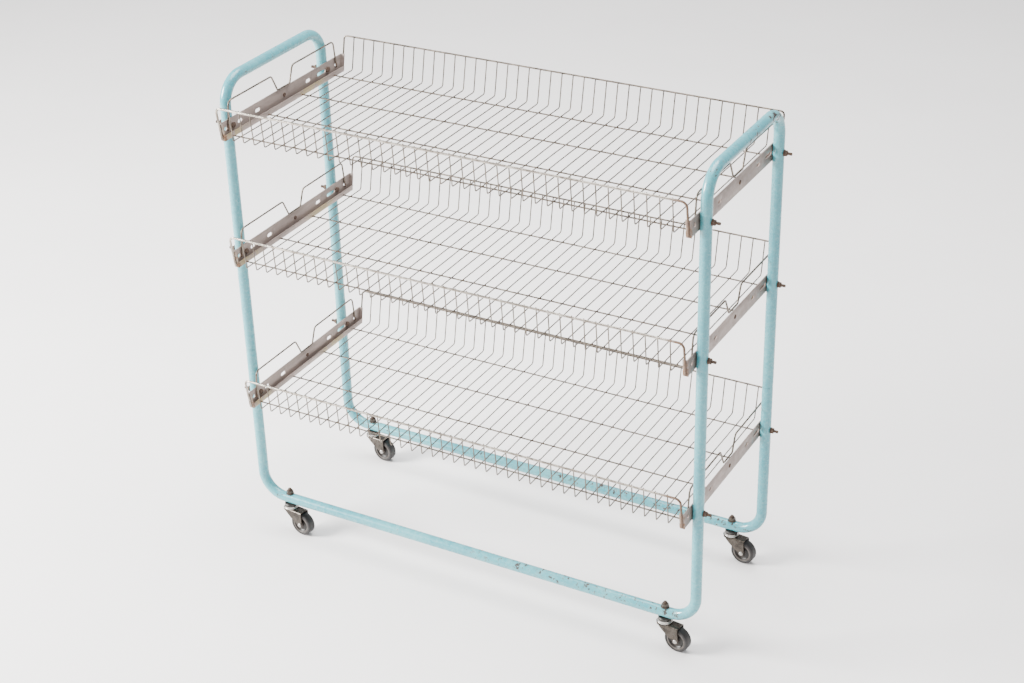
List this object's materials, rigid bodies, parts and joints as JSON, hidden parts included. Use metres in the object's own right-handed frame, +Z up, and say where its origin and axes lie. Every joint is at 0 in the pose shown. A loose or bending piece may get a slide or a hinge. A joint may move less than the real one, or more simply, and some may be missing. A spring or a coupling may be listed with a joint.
{
  "type": "wire shelf cart",
  "caption": "Rolling cart with a bent tube frame, welded wire shelves with raised rails and side guards bolted between the end hoops, and swivel casters.",
  "frame": {"origin": "on the floor, under the middle of the cart", "axes": "+Z up, +X along the shelves to the right, +Y to the back, where the shelf rails lean out furthest"},
  "size_m": [1.066, 0.4494, 1.0311],
  "materials": {
    "frame_paint": "semi-gloss turquoise enamel, chipped",
    "bare_steel": "plain",
    "zinc_sheet": "aged zinc plate",
    "zinc_wire": "aged zinc plate with rust at the welds",
    "rusty_fastener": "rusted",
    "dark_steel": "dull",
    "plated_steel": "zinc plated, tarnished",
    "wheel_centre": "matte",
    "wheel_rubber": "matte"
  },
  "bodies": {
    "cart": {"left_hoop": "frame_paint", "right_hoop": "frame_paint", "front_base_rail": "frame_paint", "back_base_rail": "frame_paint", "joint_sleeves": "bare_steel", "upper_left_bracket": "zinc_sheet", "upper_right_bracket": "zinc_sheet", "upper_front_rail": "zinc_wire", "upper_back_rail": "zinc_wire", "upper_cross_wires": "zinc_wire", "upper_slats": "zinc_wire", "upper_left_guard": "zinc_wire", "upper_right_guard": "zinc_wire", "middle_left_bracket": "zinc_sheet", "middle_right_bracket": "zinc_sheet", "middle_front_rail": "zinc_wire", "middle_back_rail": "zinc_wire", "middle_cross_wires": "zinc_wire", "middle_slats": "zinc_wire", "middle_left_guard": "zinc_wire", "middle_right_guard": "zinc_wire", "lower_left_bracket": "zinc_sheet", "lower_right_bracket": "zinc_sheet", "lower_front_rail": "zinc_wire", "lower_back_rail": "zinc_wire", "lower_cross_wires": "zinc_wire", "lower_slats": "zinc_wire", "lower_left_guard": "zinc_wire", "lower_right_guard": "zinc_wire", "shelf_bolts": "rusty_fastener", "shelf_washers": "rusty_fastener", "shelf_nuts": "rusty_fastener", "bracket_rivets": "rusty_fastener", "caster_stems": "plated_steel", "caster_races": "dark_steel", "caster_washers": "rusty_fastener", "caster_nuts": "rusty_fastener", "caster_balls": "plated_steel"},
    "front_left_swivel": {"front_left_fork": "plated_steel", "front_left_cup": "plated_steel", "front_left_axle": "plated_steel"},
    "front_left_wheel": {"front_left_hub": "wheel_centre", "front_left_tyre": "wheel_rubber"},
    "front_right_swivel": {"front_right_fork": "plated_steel", "front_right_cup": "plated_steel", "front_right_axle": "plated_steel"},
    "front_right_wheel": {"front_right_hub": "wheel_centre", "front_right_tyre": "wheel_rubber"},
    "back_left_swivel": {"back_left_fork": "plated_steel", "back_left_cup": "plated_steel", "back_left_axle": "plated_steel"},
    "back_left_wheel": {"back_left_hub": "wheel_centre", "back_left_tyre": "wheel_rubber"},
    "back_right_swivel": {"back_right_fork": "plated_steel", "back_right_cup": "plated_steel", "back_right_axle": "plated_steel"},
    "back_right_wheel": {"back_right_hub": "wheel_centre", "back_right_tyre": "wheel_rubber"}
  },
  "joints": [
    {"name": "front_left_swivel", "type": "hinge", "parent": "cart", "child": "front_left_swivel", "pos_m": [-0.442, -0.17223, 0.06], "axis": [0, 0, 1], "continuous": true},
    {"name": "front_left_roll", "type": "hinge", "parent": "front_left_swivel", "child": "front_left_wheel", "pos_m": [-0.41216, -0.17537, 0.026], "axis": [0.1045, 0.9945, 0], "continuous": true},
    {"name": "front_right_swivel", "type": "hinge", "parent": "cart", "child": "front_right_swivel", "pos_m": [0.442, -0.17223, 0.06], "axis": [0, 0, 1], "continuous": true},
    {"name": "front_right_roll", "type": "hinge", "parent": "front_right_swivel", "child": "front_right_wheel", "pos_m": [0.47184, -0.17537, 0.026], "axis": [0.1045, 0.9945, 0], "continuous": true},
    {"name": "back_left_swivel", "type": "hinge", "parent": "cart", "child": "back_left_swivel", "pos_m": [-0.442, 0.15777, 0.06], "axis": [0, 0, 1], "continuous": true},
    {"name": "back_left_roll", "type": "hinge", "parent": "back_left_swivel", "child": "back_left_wheel", "pos_m": [-0.41216, 0.15463, 0.026], "axis": [0.1045, 0.9945, 0], "continuous": true},
    {"name": "back_right_swivel", "type": "hinge", "parent": "cart", "child": "back_right_swivel", "pos_m": [0.442, 0.15777, 0.06], "axis": [0, 0, 1], "continuous": true},
    {"name": "back_right_roll", "type": "hinge", "parent": "back_right_swivel", "child": "back_right_wheel", "pos_m": [0.47184, 0.15463, 0.026], "axis": [0.1045, 0.9945, 0], "continuous": true}
  ]
}
